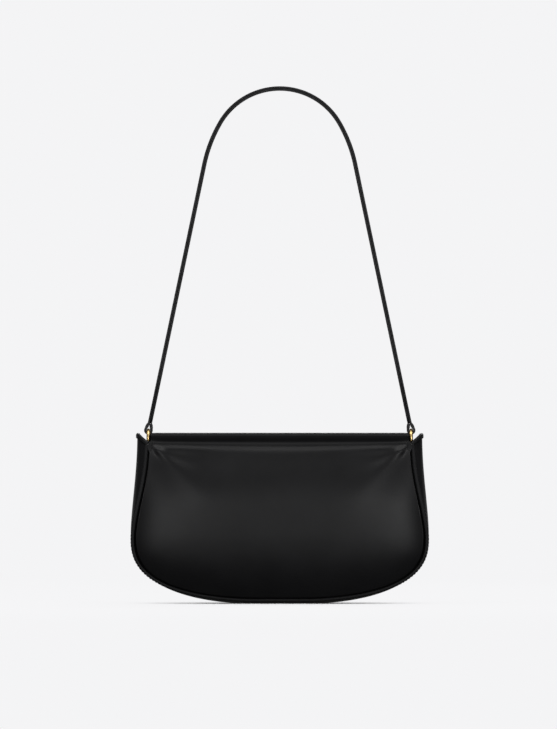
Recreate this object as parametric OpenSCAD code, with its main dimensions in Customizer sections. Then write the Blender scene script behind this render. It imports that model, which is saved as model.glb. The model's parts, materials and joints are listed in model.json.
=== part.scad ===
// Flap shoulder bag of smooth leather: curved panels on a gusset strip,
// a strap of two plies on two wire rings, and a flap that folds at the top.
// The plain back faces -Y, the flap +Y, and the bag stands on z = 0.

/* [Body] */
// Width across the gusset strip at its widest
body_w = 238.4; // [220:0.4:260]
// Height of the top roll above the surface that the bag stands on
body_h = 136.4; // [132:0.4:150]
// Depth across the back panel and the flap at their fullest
body_d = 62; // [56:1:70]
// Height of the body's widest level
wide_z = 57; // [50:1:64]
// Height of the body's fullest level, seen from the side
belly_z = 62; // [54:1:70]
// Depth between the seams at the sides
side_d = 49; // [46:1:54]
// Depth between the seams under the bag
base_d = 46; // [44:1:50]
// How squarely the body's lower corners turn
corner_share = 2.6; // [2.2:0.1:3]

/* [Top] */
// How far the neck lies inside the notches, at each side
neck_in = 4.2; // [4:0.1:6]
// Depth across the neck
neck_d = 34; // [32:1:38]
// Radius of the two rolled top edges
roll_r = 5; // [4.5:0.5:6]
// Depth of the neck's lower end below the top roll
neck_drop = 6.8; // [6.6:0.1:7.2]

/* [Seams and ears] */
// Width of the rim that the gusset strip shows beside each seam
rim_w = 3.2; // [2.4:0.1:5]
// Height of the seams' widest level
seam_z = 53; // [48:1:58]
// Height of the seam under the bag
seam_lift = 4.3; // [3:0.1:6]
// How far the ears' tips lie inside the body's widest level, at each side
ear_in = 5.2; // [4:0.1:6.4]
// Depth of the ears' tips below the top roll
ear_drop = 0.9; // [0.3:0.1:2]
// How far the notches lie inside the ears' tips
notch_in = 9; // [8.6:0.1:11]
// Depth of the notches below the top roll
notch_drop = 9; // [8.6:0.1:10]

/* [Layers] */
// Thickness of the outer leather
leather_t = 1.4; // [1:0.1:1.6]
// Thickness of the stiffening boards
board_t = 0.9; // [0.6:0.1:1]
// Thickness of the board under the lining of the base
base_board_t = 2.5; // [1.6:0.1:2.6]
// Thickness of the lining
lining_t = 0.8; // [0.5:0.1:1]
// Thickness of the bindings
binding_t = 0.6; // [0.4:0.1:0.8]
// Width of the bindings on the ears
binding_w = 2.6; // [2:0.1:4]

/* [Flap] */
// Distance of the fold line in front of the middle of the top
fold_y = 5; // [4:0.5:7]
// How far the flap's sides lie inside the body's widest level, at each side
flap_in = 11.2; // [9:0.2:15]
// Height of the flap's widest level
flap_wide_z = 66; // [60:1:74]
// Height of the flap's lower edge
flap_low_z = 26; // [20:1:34]
// Space between the closed flap and the front panel
flap_gap = 2; // [1.7:0.1:2.4]

/* [Strap and rings] */
// Height of the upright strap's top over the top roll
strap_rise = 277; // [260:1:310]
// Width of the strap
strap_w = 14; // [10:0.5:18]
// Width of the strap where it loops round the rings
strap_end_w = 6.5; // [5:0.5:6.5]
// Thickness of each of the strap's two plies
ply_t = 1.6; // [1.2:0.1:1.8]
// Radius of the strap's crown
crown_r = 55; // [50:1:56]
// Space between the strap's end loops and the neck
neck_clear = 1; // [0.8:0.1:1.4]
// Thickness of the rings' wire
ring_wire = 2.7; // [2.2:0.1:3]
// Inside diameter of the rings
ring_inner = 11; // [10.5:0.5:12]
// Height of the rings' upper wire over the top roll
ring_rise = 2; // [1.6:0.1:2.4]
// Width of the tabs that hold the rings
tab_w = 6.5; // [5:0.5:6.5]
// Thickness of the tab's folded leather
tab_t = 1.4; // [1:0.1:1.5]

/* [Snap and pocket] */
// Diameter of the snap's two halves
snap_d = 12; // [10:0.5:14]
// Height of the snap's centre
snap_z = 50; // [44:1:60]
// How far the pocket stands off the back lining at its mouth
pocket_depth = 9; // [7:0.5:10]

/* [Hidden] */

// Glue line between two layers of one body
layer_gap = 0.3;
// Running clearance between a ring and the leather looped round it
ring_gap = 0.3;
// Glue line between the strap's plies
ply_gap = 0.1;
// Overrun of the cuts
cut = 20;

// Rows of the side seams, from the base (-1) past the widest level (0) to the notch (1)
row_shares = [-1, -0.93, -0.84, -0.74, -0.63, -0.52, -0.41, -0.3, -0.19, -0.08,
              0, 0.2, 0.35, 0.5, 0.64, 0.75, 0.84, 0.92, 1];
// Columns of the panels, from seam to seam
column_shares = [-1, -0.94, -0.84, -0.7, -0.53, -0.35, -0.17, 0,
                 0.17, 0.35, 0.53, 0.7, 0.84, 0.94, 1];
// Columns of the gusset strip, from the back seam to the front seam
strip_shares = [-1, -0.88, -0.68, -0.45, -0.22, 0, 0.22, 0.45, 0.68, 0.88, 1];
// Part of a quarter turn that the lower corners use, which leaves the base its straight run
corner_turn = 82;
// How fast the seams draw in towards the top
draw_share = 1.5;
// How flat the panels stay before they drop to their seams
crown_share = 2.6;
// How far down the belly keeps its fullness, above and below the fullest level
upper_belly_share = 1.75;
lower_belly_share = 2.8;
// How square the gusset's section is at the ears and under the bag
ear_section_share = 4;
base_section_share = 5;
// The strip's sunk share under the bag, cut away to leave the flat that it stands on
base_sink = 0.9;

body_half = body_w / 2;
seam_half = body_half - rim_w;
ear_half = body_half - ear_in;
seam_top_half = ear_half - notch_in;
neck_half = seam_top_half - neck_in;
shoulder_z = body_h - neck_drop;
notch_z = body_h - notch_drop;
ear_z = body_h - ear_drop;
strap_top_z = body_h + strap_rise;
roll_y = neck_d / 2 - roll_r;
roll_z = body_h - roll_r;
// Layers of the closed flap, from its outer face to the front panel's
flap_board_in = leather_t + layer_gap;
flap_lining_in = flap_board_in + board_t + layer_gap;
flap_pack = flap_lining_in + lining_t + flap_gap;
// Layers of the panels behind their outer leather
board_in = leather_t + layer_gap;
lining_in = board_in + board_t + layer_gap;
pocket_in = lining_in + lining_t + layer_gap;
// Layers of the gusset strip behind its outer leather
strip_board_in = leather_t + layer_gap;
strip_lining_in = strip_board_in + max(base_board_t, 2 * tab_t) + layer_gap;
// How far the gusset's edges lie behind the panels' outer faces
seat_in = leather_t + 2 * layer_gap;

function mix(a, b, t) = a + (b - a) * t;
function reversed(list) = [for (i = [len(list) - 1:-1:0]) list[i]];
function joined(lists) = [for (list = lists) each list];
function unit(v) = v / norm(v);
// Share of the whole draw-in reached at a share of the way to the top
function drawn(share) = pow(sin(90 * min(1, share)), draw_share);

// Outline points in X and Z: a squared quarter turn below, a drawn-in side above
function outline_point(row, half, wide, low, top_half, top) =
    row < 0
    ? let (turn = -row * corner_turn)
      [half * pow(cos(turn), 2 / corner_share), wide - (wide - low) * pow(sin(turn), 2 / corner_share)]
    : [mix(half, top_half, drawn(row)), mix(wide, top, row)];
function seam_point(row) = outline_point(row, seam_half, seam_z, seam_lift, seam_top_half, notch_z);
rim_top_z = ear_z - binding_t - layer_gap;
function rim_point(row) = outline_point(row, body_half, wide_z, -base_sink, ear_half, rim_top_z);
function flap_point(row) =
    outline_point(row, body_half - flap_in, flap_wide_z, flap_low_z, neck_half - layer_gap, shoulder_z);

// Half width between the seams at a height
function seam_half_at(z) =
    z < seam_z
    ? seam_half * pow(max(0, 1 - pow((seam_z - z) / (seam_z - seam_lift), corner_share)), 1 / corner_share)
    : mix(seam_half, seam_top_half, drawn((z - seam_z) / (notch_z - seam_z)));

// Half depth at a height, for a section that is "full" deep at the belly
function half_depth(z, full) =
    z > belly_z
    ? let (share = min(1, (z - belly_z) / (roll_z - belly_z)))
      mix(neck_d, full, (1 + cos(180 * pow(share, upper_belly_share))) / 2) / 2
    : let (share = (z - seam_lift) / (belly_z - seam_lift))
      mix(base_d, full, 1 - pow(1 - share, lower_belly_share)) / 2;
function outer_y(x, z) =
    mix(half_depth(z, body_d), half_depth(z, side_d),
        pow(min(1, abs(x) / max(roll_r, seam_half_at(z))), crown_share));

// Rows of a panel, as points from its left to its right edge; "back" is how far it is moved inward
function level_row(half, z, columns, back = 0) =
    [for (c = columns) [half * c, back - outer_y(half * c, z), z]];
function seam_rows(rows, columns, back = 0) =
    [for (r = rows) let (p = seam_point(r)) level_row(p[0], p[1], columns, back)];
// Rows over the rolled edge, from the neck to the flat of the top
roll_turns = [for (turn = [0:22.5:90]) turn];
function roll_rows(half, columns) =
    [for (turn = roll_turns)
        [for (c = columns) [half * c, -roll_y - roll_r * cos(turn), roll_z + roll_r * sin(turn)]]];
function top_row(half, y, columns) = [for (c = columns) [half * c, y, body_h]];

// The grid's outward normal at one point, and the grid moved inward by a depth
function grid_normal(grid, i, j) =
    let (last_i = len(grid) - 1, last_j = len(grid[0]) - 1,
         along = grid[i][min(j + 1, last_j)] - grid[i][max(j - 1, 0)],
         up = grid[min(i + 1, last_i)][j] - grid[max(i - 1, 0)][j])
    unit(cross(along, up));
function inset(grid, depth) =
    [for (i = [0:len(grid) - 1]) [for (j = [0:len(grid[0]) - 1])
        grid[i][j] - depth * grid_normal(grid, i, j)]];
function some_rows(grid, first, last) = [for (i = [first:last]) grid[i]];
function some_columns(grid, first, last) = [for (row = grid) [for (j = [first:last]) row[j]]];

// A closed sheet between an outer and an inner grid of the same rows and columns
module sheet(outer, inner) {
    m = len(outer);
    n = len(outer[0]);
    function at(i, j) = i * n + j;
    function in(i, j) = m * n + i * n + j;
    polyhedron(
        points = concat(joined(outer), joined(inner)),
        faces = concat(
            [for (i = [0:m - 2]) for (j = [0:n - 2]) each [
                [at(i, j), at(i + 1, j), at(i + 1, j + 1)], [at(i, j), at(i + 1, j + 1), at(i, j + 1)],
                [in(i, j), in(i + 1, j + 1), in(i + 1, j)], [in(i, j), in(i, j + 1), in(i + 1, j + 1)]]],
            [for (j = [0:n - 2]) each [
                [at(0, j), at(0, j + 1), in(0, j + 1)], [at(0, j), in(0, j + 1), in(0, j)],
                [at(m - 1, j + 1), at(m - 1, j), in(m - 1, j)],
                [at(m - 1, j + 1), in(m - 1, j), in(m - 1, j + 1)]]],
            [for (i = [0:m - 2]) each [
                [at(i + 1, 0), at(i, 0), in(i, 0)], [at(i + 1, 0), in(i, 0), in(i + 1, 0)],
                [at(i, n - 1), at(i + 1, n - 1), in(i + 1, n - 1)],
                [at(i, n - 1), in(i + 1, n - 1), in(i, n - 1)]]]));
}
module layer(grid, from, thickness) sheet(inset(grid, from), inset(grid, from + thickness));

// Extrudes an outline drawn in X and Z along Y, and one drawn in Y and Z along X
module along_y(width) rotate([90, 0, 0]) linear_extrude(width, center = true) children();
module along_x(width) rotate([90, 0, 90]) linear_extrude(width, center = true) children();

// The front panel stops short of the notches, which leaves its upper edge free under the flap
front_share = 0.9;

// The whole back, from the base seam over the roll to the fold line
back_grid = concat(
    seam_rows(row_shares, column_shares),
    [level_row(neck_half, shoulder_z, column_shares)],
    roll_rows(neck_half, column_shares),
    [top_row(neck_half, 0, column_shares), top_row(neck_half, fold_y, column_shares)]);
front_rows = [for (r = row_shares) if (r < front_share) r];
front_grid = seam_rows(front_rows, column_shares, flap_pack);
last_seam_row = len(row_shares) - 1;
last_column = len(column_shares) - 1;
last_back_row = len(back_grid) - 1;
last_front_row = len(front_rows) - 1;
// Rows and columns that the boards and linings stop short of the panels' edges
board_foot_count = 3;
board_head_count = 2;
board_side_count = 2;
lining_foot_count = 2;
lining_head_count = 4;
lining_side_count = 1;

module back_panel() color([0.06, 0.06, 0.065]) layer(back_grid, 0, leather_t);

module front_panel() color([0.07, 0.07, 0.075]) difference() {
    mirror([0, 1, 0]) layer(front_grid, 0, leather_t);
    snap_bore(stud_post_d + 2 * layer_gap);
}

module back_board() color([0.62, 0.55, 0.45])
    layer(some_columns(some_rows(back_grid, board_foot_count, last_seam_row - board_head_count),
                       board_side_count, last_column - board_side_count), board_in, board_t);

module front_board() color([0.62, 0.55, 0.45]) difference() {
    mirror([0, 1, 0])
        layer(some_columns(some_rows(front_grid, board_foot_count, last_front_row - 1),
                           board_side_count, last_column - board_side_count), board_in, board_t);
    snap_bore(washer_d + 2 * layer_gap);
}

module lining_back() color([0.2, 0.19, 0.18])
    layer(some_columns(some_rows(back_grid, lining_foot_count, last_back_row),
                       lining_side_count, last_column - lining_side_count), lining_in, lining_t);

module lining_front() color([0.2, 0.19, 0.18]) mirror([0, 1, 0])
    layer(some_columns(some_rows(front_grid, lining_foot_count, last_front_row),
                       lining_side_count, last_column - lining_side_count), lining_in, lining_t);

// The gusset strip, from the left ear down, under the bag and up to the right ear
function strip_row(side, row, columns) =
    let (seam = seam_point(row), rim = rim_point(row),
         section = mix(base_section_share, ear_section_share, min(1, max(0, (row + 1) / 2))),
         depth = half_depth(seam[1], side_d) - seat_in)
    [for (q = columns)
        let (p = mix(rim, seam, pow(abs(q), section)))
        [side * p[0], q * (q < 0 ? depth : depth - flap_pack), p[1]]];
strip_grid = concat(
    [for (r = reversed(row_shares)) strip_row(-1, r, strip_shares)],
    [for (r = row_shares) strip_row(1, r, strip_shares)]);
last_strip_row = len(strip_grid) - 1;
last_strip_column = len(strip_shares) - 1;

// What stands under the flat that the bag rests on
module under_base() translate([-body_w, -body_d, -2 * cut]) cube([2 * body_w, 2 * body_d, 2 * cut]);

module gusset() color([0.05, 0.05, 0.055]) difference() {
    layer(strip_grid, 0, leather_t);
    under_base();
}

module base_board() color([0.62, 0.55, 0.45])
    layer(some_columns(some_rows(strip_grid, last_seam_row - board_foot_count,
                                 last_seam_row + 1 + board_foot_count),
                       board_side_count, last_strip_column - board_side_count), strip_board_in, base_board_t);

module lining_gusset() color([0.2, 0.19, 0.18])
    layer(some_columns(some_rows(strip_grid, lining_head_count, last_strip_row - lining_head_count),
                       lining_side_count, last_strip_column - lining_side_count), strip_lining_in, lining_t);

// Binding folded over the sloping top edge of an ear
ear_run = ear_z - wide_z;
function ear_row(rise) =
    [for (p = strip_row(1, 1 + min(0, rise) / ear_run, strip_shares)) p + [0, 0, max(0, rise)]];
// The ear's top, from "below" its edge to "above" it, thickened by "grow" on both faces
module ear_top(below, above, grow) {
    grid = [for (rise = [-below, 0, above]) ear_row(rise)];
    sheet(inset(grid, -grow), inset(grid, leather_t + grow));
}
module gusset_binding(side) color([0.03, 0.03, 0.035]) mirror([side < 0 ? 1 : 0, 0, 0]) difference() {
    ear_top(binding_w, layer_gap + binding_t, layer_gap + binding_t);
    ear_top(2 * binding_w, layer_gap, layer_gap);
}

// The flap, from the fold line over the front roll and down the front
flap_half = neck_half - layer_gap;
flap_rows = [for (r = reversed(row_shares)) flap_point(r)];
flap_grid = concat(
    [top_row(flap_half, fold_y + layer_gap, column_shares)],
    [for (turn = roll_turns)
        [for (c = column_shares) [flap_half * c, roll_y + roll_r * sin(turn), roll_z + roll_r * cos(turn)]]],
    [for (p = flap_rows) [for (c = column_shares) [p[0] * c, outer_y(p[0] * c, p[1]), p[1]]]]);
last_flap_row = len(flap_grid) - 1;
flap_board_head_count = len(roll_turns) + board_head_count + 1;

module flap() color([0.06, 0.06, 0.065]) layer(flap_grid, 0, leather_t);

module flap_board() color([0.62, 0.55, 0.45]) difference() {
    layer(some_columns(some_rows(flap_grid, flap_board_head_count, last_flap_row - lining_foot_count),
                       lining_side_count, last_column - lining_side_count), flap_board_in, board_t);
    snap_bore(washer_d + 2 * layer_gap);
}

module flap_lining() color([0.2, 0.19, 0.18]) difference() {
    layer(flap_grid, flap_lining_in, lining_t);
    snap_bore(snap_d + 2 * layer_gap);
}

// Slip pocket: a patch that stands off the back lining, sewn down at its sides and foot.
// How far it stands off at each row, and at each column
pocket_row_shares = [0, 0.45, 0.72, 0.88, 0.97, 1];
pocket_column_shares = [0, 0.78, 0.95, 1, 0.95, 0.78, 0];
pocket_foot_count = 8;
pocket_side_count = 4;
pocket_rows = some_rows(back_grid, pocket_foot_count, pocket_foot_count + len(pocket_row_shares) - 1);
pocket_grid = some_columns(pocket_rows, pocket_side_count, last_column - pocket_side_count);
function pocket_inset(extra) =
    [for (i = [0:len(pocket_grid) - 1]) [for (j = [0:len(pocket_grid[0]) - 1])
        pocket_grid[i][j] - grid_normal(pocket_grid, i, j)
            * (pocket_in + extra + pocket_depth * pocket_row_shares[i] * pocket_column_shares[j])]];
module pocket() color([0.18, 0.17, 0.16]) sheet(pocket_inset(0), pocket_inset(lining_t));

// Turned binding on the pocket's mouth
function raised(row, rise) = [for (p = row) p + [0, 0, rise]];
function mouth_rows(extra) =
    let (mouth = pocket_inset(extra)[len(pocket_grid) - 1])
    [raised(mouth, layer_gap), raised(mouth, layer_gap + binding_w)];
module pocket_binding() color([0.03, 0.03, 0.035]) sheet(mouth_rows(0), mouth_rows(lining_t));

// Rings, each welded wire in the YZ plane
loop_in_r = ring_wire / 2 + ring_gap;
ring_x = neck_half + neck_clear + loop_in_r + ply_t;
ring_mean_r = (ring_inner + ring_wire) / 2;
ring_z = body_h + ring_rise - ring_mean_r;
// The rings and the strap stand over the middle of the ears, which the flap's layers move back
ring_y_share = 0.26;
ring_y = -ring_y_share * flap_pack;
module torus(extra) rotate([0, 90, 0]) rotate_extrude($fn = 64)
    translate([ring_mean_r, 0]) circle(ring_wire / 2 + extra, $fn = 32);
module ring_place(side) translate([side * ring_x, ring_y, ring_z]) children();
module ring(side) color([0.83, 0.66, 0.32]) ring_place(side) torus(0);

// Tab: leather folded round the foot of a ring, its two ends stitched inside the gusset
tab_loop_z = ring_z - ring_mean_r;
tab_neck = 7.5;
tab_foot = 18;
tab_top_z = tab_loop_z - tab_neck;
tab_foot_z = tab_top_z - tab_foot;
// The strip's inner face at a height, at the edge of the tab that lies nearer to the back
function strip_face_x(z) =
    let (row = (z - wide_z) / (rim_top_z - wide_z), depth = half_depth(seam_point(row)[1], side_d) - seat_in)
    strip_row(1, row, [(ring_y - tab_w / 2) / depth])[0][0] - strip_board_in - layer_gap;
// Square to the tab's run from the ring to its foot
tab_side = unit([tab_loop_z - tab_top_z, strip_face_x(tab_top_z) - tab_t - ring_x]);
module ring_tab(side) color([0.05, 0.05, 0.055]) mirror([side < 0 ? 1 : 0, 0, 0]) difference() {
    translate([0, ring_y, 0]) union() {
        along_y(tab_w) translate([ring_x, tab_loop_z]) circle(loop_in_r + tab_t, $fn = 48);
        along_y(tab_w) polygon([
            [ring_x, tab_loop_z] + tab_t * tab_side, [strip_face_x(tab_top_z), tab_top_z],
            [strip_face_x(tab_foot_z), tab_foot_z], [strip_face_x(tab_foot_z) - 2 * tab_t, tab_foot_z],
            [strip_face_x(tab_top_z) - 2 * tab_t, tab_top_z - tab_t],
            [ring_x, tab_loop_z] - tab_t * tab_side]);
    }
    ring_place(1) torus(ring_gap);
}

// Strap: straight legs lean in from the rings to two side arcs and a crown arc
loop_z = ring_z + ring_mean_r;
strap_half = ply_gap / 2 + ply_t;
crown_z = strap_top_z - strap_half - crown_r;
// The legs' lines pass this far outside the crown's circle
strap_ease = 2.9;
crown_turn = 30;
strap_lean = atan2(loop_z - crown_z, ring_x)
    + acos((crown_r + strap_ease) / norm([ring_x, loop_z - crown_z]));
side_r = crown_r + strap_ease / (1 - cos(crown_turn - strap_lean));
side_centre = [0, crown_z] - (side_r - crown_r) * [cos(crown_turn), sin(crown_turn)];
// Distance from a ring's wire to where the loop's two plies meet
loop_run = 8.4;
arc_step = 3;
side_arc_count = 6;
function facing(angle) = [cos(angle), sin(angle)];
function right_leg(off) = concat(
    [[ring_x, loop_z] + (loop_run - ply_gap) * facing(strap_lean + 90) + off * facing(strap_lean)],
    [for (i = [0:side_arc_count])
        side_centre + (side_r + off) * facing(mix(strap_lean, crown_turn, i / side_arc_count))],
    [for (a = [crown_turn + arc_step:arc_step:90 - arc_step]) [0, crown_z] + (crown_r + off) * facing(a)]);
function strap_line(off) = concat(
    right_leg(off), [[0, crown_z + crown_r + off]],
    [for (p = reversed(right_leg(off))) [-p[0], p[1]]]);
module ply(inner_off, outer_off) polygon(concat(strap_line(outer_off), reversed(strap_line(inner_off))));

// The strap narrows to its ends
taper_low = ring_z + ring_inner + strap_end_w;
taper_high = taper_low + 2 * strap_w;
module strap_widths() along_x(2 * body_w) polygon([
    [-strap_end_w / 2, 0], [strap_end_w / 2, 0], [strap_end_w / 2, taper_low], [strap_w / 2, taper_high],
    [strap_w / 2, strap_top_z + cut], [-strap_w / 2, strap_top_z + cut], [-strap_w / 2, taper_high],
    [-strap_end_w / 2, taper_low]]);

module end_loop() translate([ring_x, loop_z]) rotate(strap_lean) difference() {
    union() {
        circle(loop_in_r + ply_t, $fn = 48);
        polygon([[-loop_in_r - ply_t, 0], [loop_in_r + ply_t, 0],
                 [strap_half, loop_run], [-strap_half, loop_run]]);
    }
    polygon([[-ring_wire / 2, 0], [ring_wire / 2, 0], [ply_gap / 2, loop_run], [-ply_gap / 2, loop_run]]);
}

module strap_outer() color([0.05, 0.05, 0.055]) difference() {
    translate([0, ring_y, 0]) intersection() {
        along_y(2 * strap_w) {
            ply(ply_gap / 2, strap_half);
            end_loop();
            mirror([1, 0]) end_loop();
        }
        strap_widths();
    }
    for (side = [-1, 1]) ring_place(side) torus(ring_gap);
}

// The inner ply stops short of the loops' turned ends
module strap_inner() color([0.09, 0.09, 0.095]) translate([0, ring_y, 0]) intersection() {
    along_y(2 * strap_w) difference() {
        ply(-strap_half, -ply_gap / 2);
        translate([-body_w, 0]) square([2 * body_w, loop_z + loop_run + layer_gap]);
    }
    strap_widths();
}

// Snap: its stud is riveted through the front panel, its socket sits behind the flap's leather
washer_rim = 0.5;
washer_d = snap_d + 2 * washer_rim;
washer_t = 0.5;
stud_flange_t = 0.9;
stud_nub_d = 5;
stud_nub_h = 1.5;
stud_post_d = 3;
socket_t = 2.2;
socket_clear = 0.6;
snap_face_y = outer_y(0, snap_z);
front_face_y = snap_face_y - flap_pack;
socket_back_y = snap_face_y - flap_board_in - washer_t;
module snap_disc(d, from_y, to_y)
    translate([0, from_y, snap_z]) rotate([from_y < to_y ? -90 : 90, 0, 0])
        cylinder(h = abs(to_y - from_y), d = d, $fn = 64);
module snap_bore(d) snap_disc(d, 0, body_d);

module snap_stud() color([0.8, 0.64, 0.32]) {
    snap_disc(snap_d, front_face_y + layer_gap, front_face_y + layer_gap + stud_flange_t);
    snap_disc(stud_nub_d, front_face_y + layer_gap, front_face_y + layer_gap + stud_flange_t + stud_nub_h);
    snap_disc(stud_post_d, front_face_y - board_in, front_face_y + layer_gap + stud_flange_t);
}

module snap_stud_washer() color([0.75, 0.75, 0.76])
    snap_disc(washer_d, front_face_y - board_in - washer_t, front_face_y - board_in);

module snap_socket() color([0.8, 0.64, 0.32]) difference() {
    snap_disc(snap_d, socket_back_y - socket_t, socket_back_y);
    snap_disc(stud_nub_d + 2 * socket_clear, socket_back_y - socket_t - cut, socket_back_y - socket_clear);
}

module snap_socket_washer() color([0.75, 0.75, 0.76])
    snap_disc(washer_d, socket_back_y, socket_back_y + washer_t);

back_panel();
front_panel();
gusset();
gusset_binding(-1);  // gusset_binding_left
gusset_binding(1);  // gusset_binding_right
flap();
flap_board();
flap_lining();
back_board();
front_board();
base_board();
lining_back();
lining_front();
lining_gusset();
pocket();
pocket_binding();
ring_tab(-1);  // ring_tab_left
ring_tab(1);  // ring_tab_right
ring(-1);  // ring_left
ring(1);  // ring_right
strap_outer();
strap_inner();
snap_stud();
snap_stud_washer();
snap_socket();
snap_socket_washer();
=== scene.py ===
"""Small flap shoulder bag: smooth black calf over boards, a gusset strip with bound ears,
and a strap of two plies looped round two gold-coloured rings. The plain back faces -Y.
Sizes are in millimetres, as on a bag maker's pattern, and become metres as each mesh is made."""

import json
import math

import bpy
import numpy as np
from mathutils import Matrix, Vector


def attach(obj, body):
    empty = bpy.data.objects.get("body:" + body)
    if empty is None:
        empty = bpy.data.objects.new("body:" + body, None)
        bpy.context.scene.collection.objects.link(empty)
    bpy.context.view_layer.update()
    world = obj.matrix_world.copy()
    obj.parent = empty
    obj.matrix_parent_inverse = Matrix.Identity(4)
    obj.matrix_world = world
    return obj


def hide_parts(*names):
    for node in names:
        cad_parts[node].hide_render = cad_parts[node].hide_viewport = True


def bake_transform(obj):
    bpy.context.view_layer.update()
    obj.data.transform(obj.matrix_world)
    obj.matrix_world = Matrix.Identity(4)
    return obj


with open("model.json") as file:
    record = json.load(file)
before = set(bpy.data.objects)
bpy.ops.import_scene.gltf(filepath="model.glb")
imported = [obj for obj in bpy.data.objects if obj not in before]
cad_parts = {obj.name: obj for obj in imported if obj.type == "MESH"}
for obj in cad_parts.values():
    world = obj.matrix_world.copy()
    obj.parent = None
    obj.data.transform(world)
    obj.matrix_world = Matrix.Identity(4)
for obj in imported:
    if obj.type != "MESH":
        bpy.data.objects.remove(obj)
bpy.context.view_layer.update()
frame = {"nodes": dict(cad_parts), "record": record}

# Camera and studio.
# A long lens square on to the plain back, a pale sweep under the bag,
# one wide soft lamp overhead and weaker ones round it.
MM = 0.001
PHOTO_H = 729
MM_PER_PIXEL = 0.8
CAMERA_AWAY = 12000
AIM_X, AIM_Z = -1.0, 191.0
SENSOR = 36
camera_data = bpy.data.cameras.new("camera")
camera_data.sensor_width = SENSOR
camera_data.lens = SENSOR * CAMERA_AWAY / (PHOTO_H * MM_PER_PIXEL)
camera_data.clip_end = 50
camera = bpy.data.objects.new("camera", camera_data)
camera.location = (AIM_X * MM, -CAMERA_AWAY * MM, AIM_Z * MM)
camera.rotation_euler = (math.radians(90), 0, 0)
bpy.context.scene.collection.objects.link(camera)
bpy.context.scene.camera = camera
bpy.context.scene.view_settings.view_transform = "Standard"


def lamp(name, place, aim, size, watts):
    data = bpy.data.lights.new(name, "AREA")
    data.shape = "RECTANGLE"
    data.size, data.size_y = size
    data.energy = watts
    light = bpy.data.objects.new(name, data)
    light.location = place
    light.rotation_mode = "QUATERNION"
    light.rotation_quaternion = (Vector(place) - Vector(aim)).to_track_quat("Z", "Y")
    bpy.context.scene.collection.objects.link(light)


lamp("overhead", (0, -0.32, 1.24), (0, -0.02, 0.12), (1.4, 0.45), 8.5)
lamp("left_front", (-0.65, -2.0, 0.40), (0, 0, 0.1), (0.4, 0.8), 5.5)
lamp("right_front", (0.75, -1.95, 0.40), (0, 0, 0.1), (0.4, 0.8), 7.5)
lamp("behind", (0.3, 1.4, 1.0), (0, 0, 0.1), (1.2, 0.5), 9)

PAPER = (0.905, 0.905, 0.915, 1)


class Dye:
    """A value in a node tree. The usual signs between two of them add Math nodes."""

    def __init__(self, tree, socket=None):
        self.tree, self.socket = tree, socket

    def node(self, kind, settings, links, output=0):
        made = self.tree.nodes.new(kind)
        for key, value in settings.items():
            setattr(made, key, value)
        for key, value in links.items():
            if isinstance(value, Dye):
                self.tree.links.new(value.socket, made.inputs[key])
            else:
                made.inputs[key].default_value = value
        return Dye(self.tree, made.outputs[output])

    def _maths(self, operation, first, second):
        return self.node("ShaderNodeMath", {"operation": operation}, {0: first, 1: second})

    def __add__(self, other):
        return self._maths("ADD", self, other)

    def __sub__(self, other):
        return self._maths("SUBTRACT", self, other)

    def __rsub__(self, other):
        return self._maths("SUBTRACT", other, self)

    def __mul__(self, other):
        return self._maths("MULTIPLY", self, other)

    __radd__ = __add__
    __rmul__ = __mul__

    def clipped(self, low, high):
        """This value stretched from low..high to 0..1, and held there."""
        return self.node("ShaderNodeMapRange", {"clamp": True, "interpolation_type": "SMOOTHSTEP"},
                         {"Value": self, "From Min": low, "From Max": high})

    def blend(self, first, second):
        """Colour first where this value is 0, and second where it is 1."""
        return self.node("ShaderNodeMix", {"data_type": "RGBA"}, {0: self, 6: first, 7: second}, 2)


def new_material(name):
    material = bpy.data.materials.new(name)
    material.use_nodes = True
    material.node_tree.nodes.clear()
    return material, Dye(material.node_tree)


def show(material, surface):
    end = material.node_tree.nodes.new("ShaderNodeOutputMaterial")
    material.node_tree.links.new(surface.socket, end.inputs["Surface"])


def ray(dye, kind):
    return dye.node("ShaderNodeLightPath", {}, {}, "Is " + kind + " Ray")


def glow(dye, colour, strength):
    return dye.node("ShaderNodeEmission", {}, {"Color": colour, "Strength": strength})


def either(dye, share, first, second):
    """The first surface where the share is 0, and the second where it is 1."""
    return dye.node("ShaderNodeMixShader", {}, {0: share, 1: first, 2: second})


def wall_level(dye, toward):
    """How bright the studio looks in polish and metal: pale in front, darker to the sides and behind."""
    way = dye.node("ShaderNodeVectorMath", {"operation": "NORMALIZE"}, {0: toward})
    back = dye.node("ShaderNodeSeparateXYZ", {}, {0: way}, "Y")
    return (0 - back).clipped(0.50, 0.95) * 0.86 + back.clipped(0.55, 1.0) * 0.42 + 0.155


FILL = 0.55
world = bpy.data.worlds.new("studio")
bpy.context.scene.world = world
world.use_nodes = True
world.node_tree.nodes.clear()
sky = Dye(world.node_tree)
mirrored = glow(sky, (1, 1, 1, 1), wall_level(sky, sky.node("ShaderNodeTexCoord", {}, {}, "Generated")))
unseen = either(sky, ray(sky, "Glossy"), glow(sky, (1, 1, 1, 1), FILL), mirrored)
seen = either(sky, ray(sky, "Camera"), unseen, glow(sky, PAPER, 1))
world_end = world.node_tree.nodes.new("ShaderNodeOutputWorld")
world.node_tree.links.new(seen.socket, world_end.inputs["Surface"])

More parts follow.
